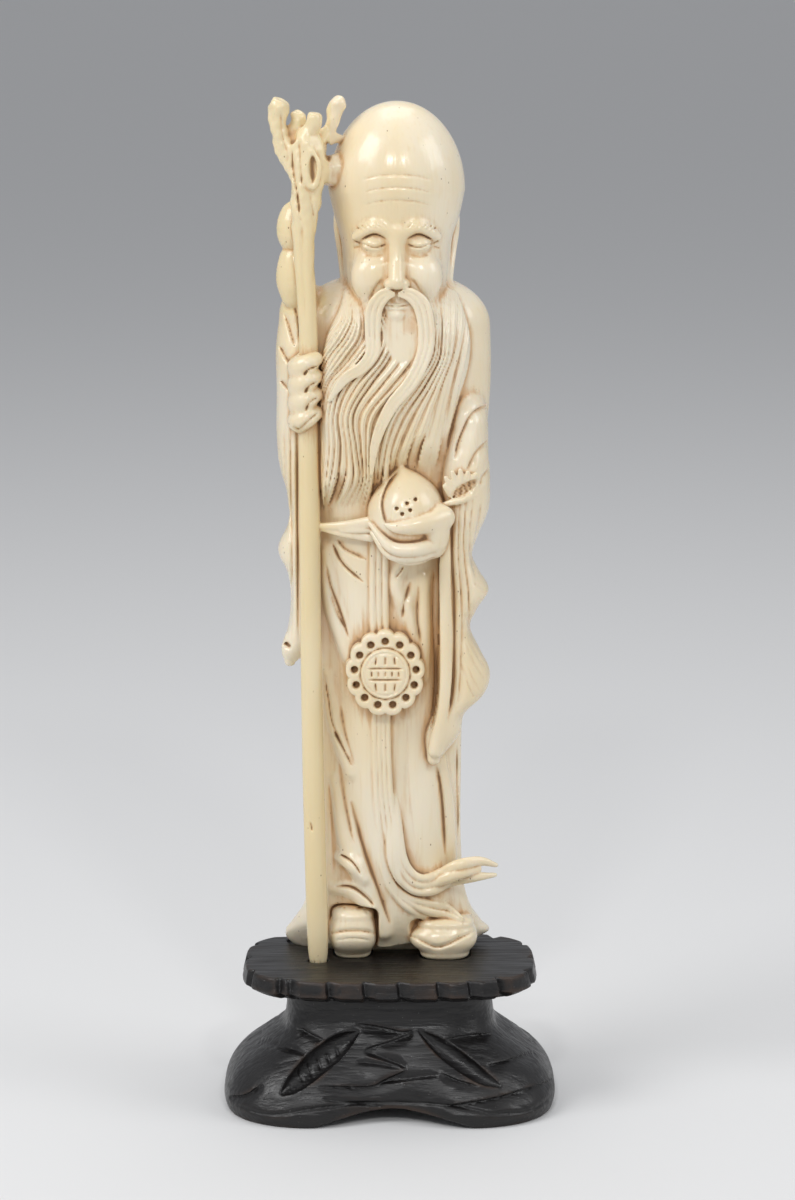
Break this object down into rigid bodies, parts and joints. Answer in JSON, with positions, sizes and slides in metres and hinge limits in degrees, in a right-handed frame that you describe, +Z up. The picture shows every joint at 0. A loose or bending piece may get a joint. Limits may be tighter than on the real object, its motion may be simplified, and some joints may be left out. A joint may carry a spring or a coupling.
{
  "type": "carved ivory standing figure on a wooden stand",
  "caption": "Standing robed elder carved in ivory, bald and long-bearded, holding a knotted staff with a gourd and a peach, on a dark carved wooden stand.",
  "frame": {"origin": "middle of the stand's underside, on the surface that it stands on", "axes": "+Z up, the face looks along -Y, +X is the right of the front view"},
  "size_m": [0.08, 0.0598, 0.2411],
  "materials": {
    "ivory": "polished ivory, cream, with a warm brown patina in the cuts",
    "dark_wood": "near-black stained hardwood, waxed, worn on the edges"
  },
  "bodies": {
    "root": {"ivory_figure": "ivory", "carved_stand": "dark_wood"}
  },
  "joints": []
}
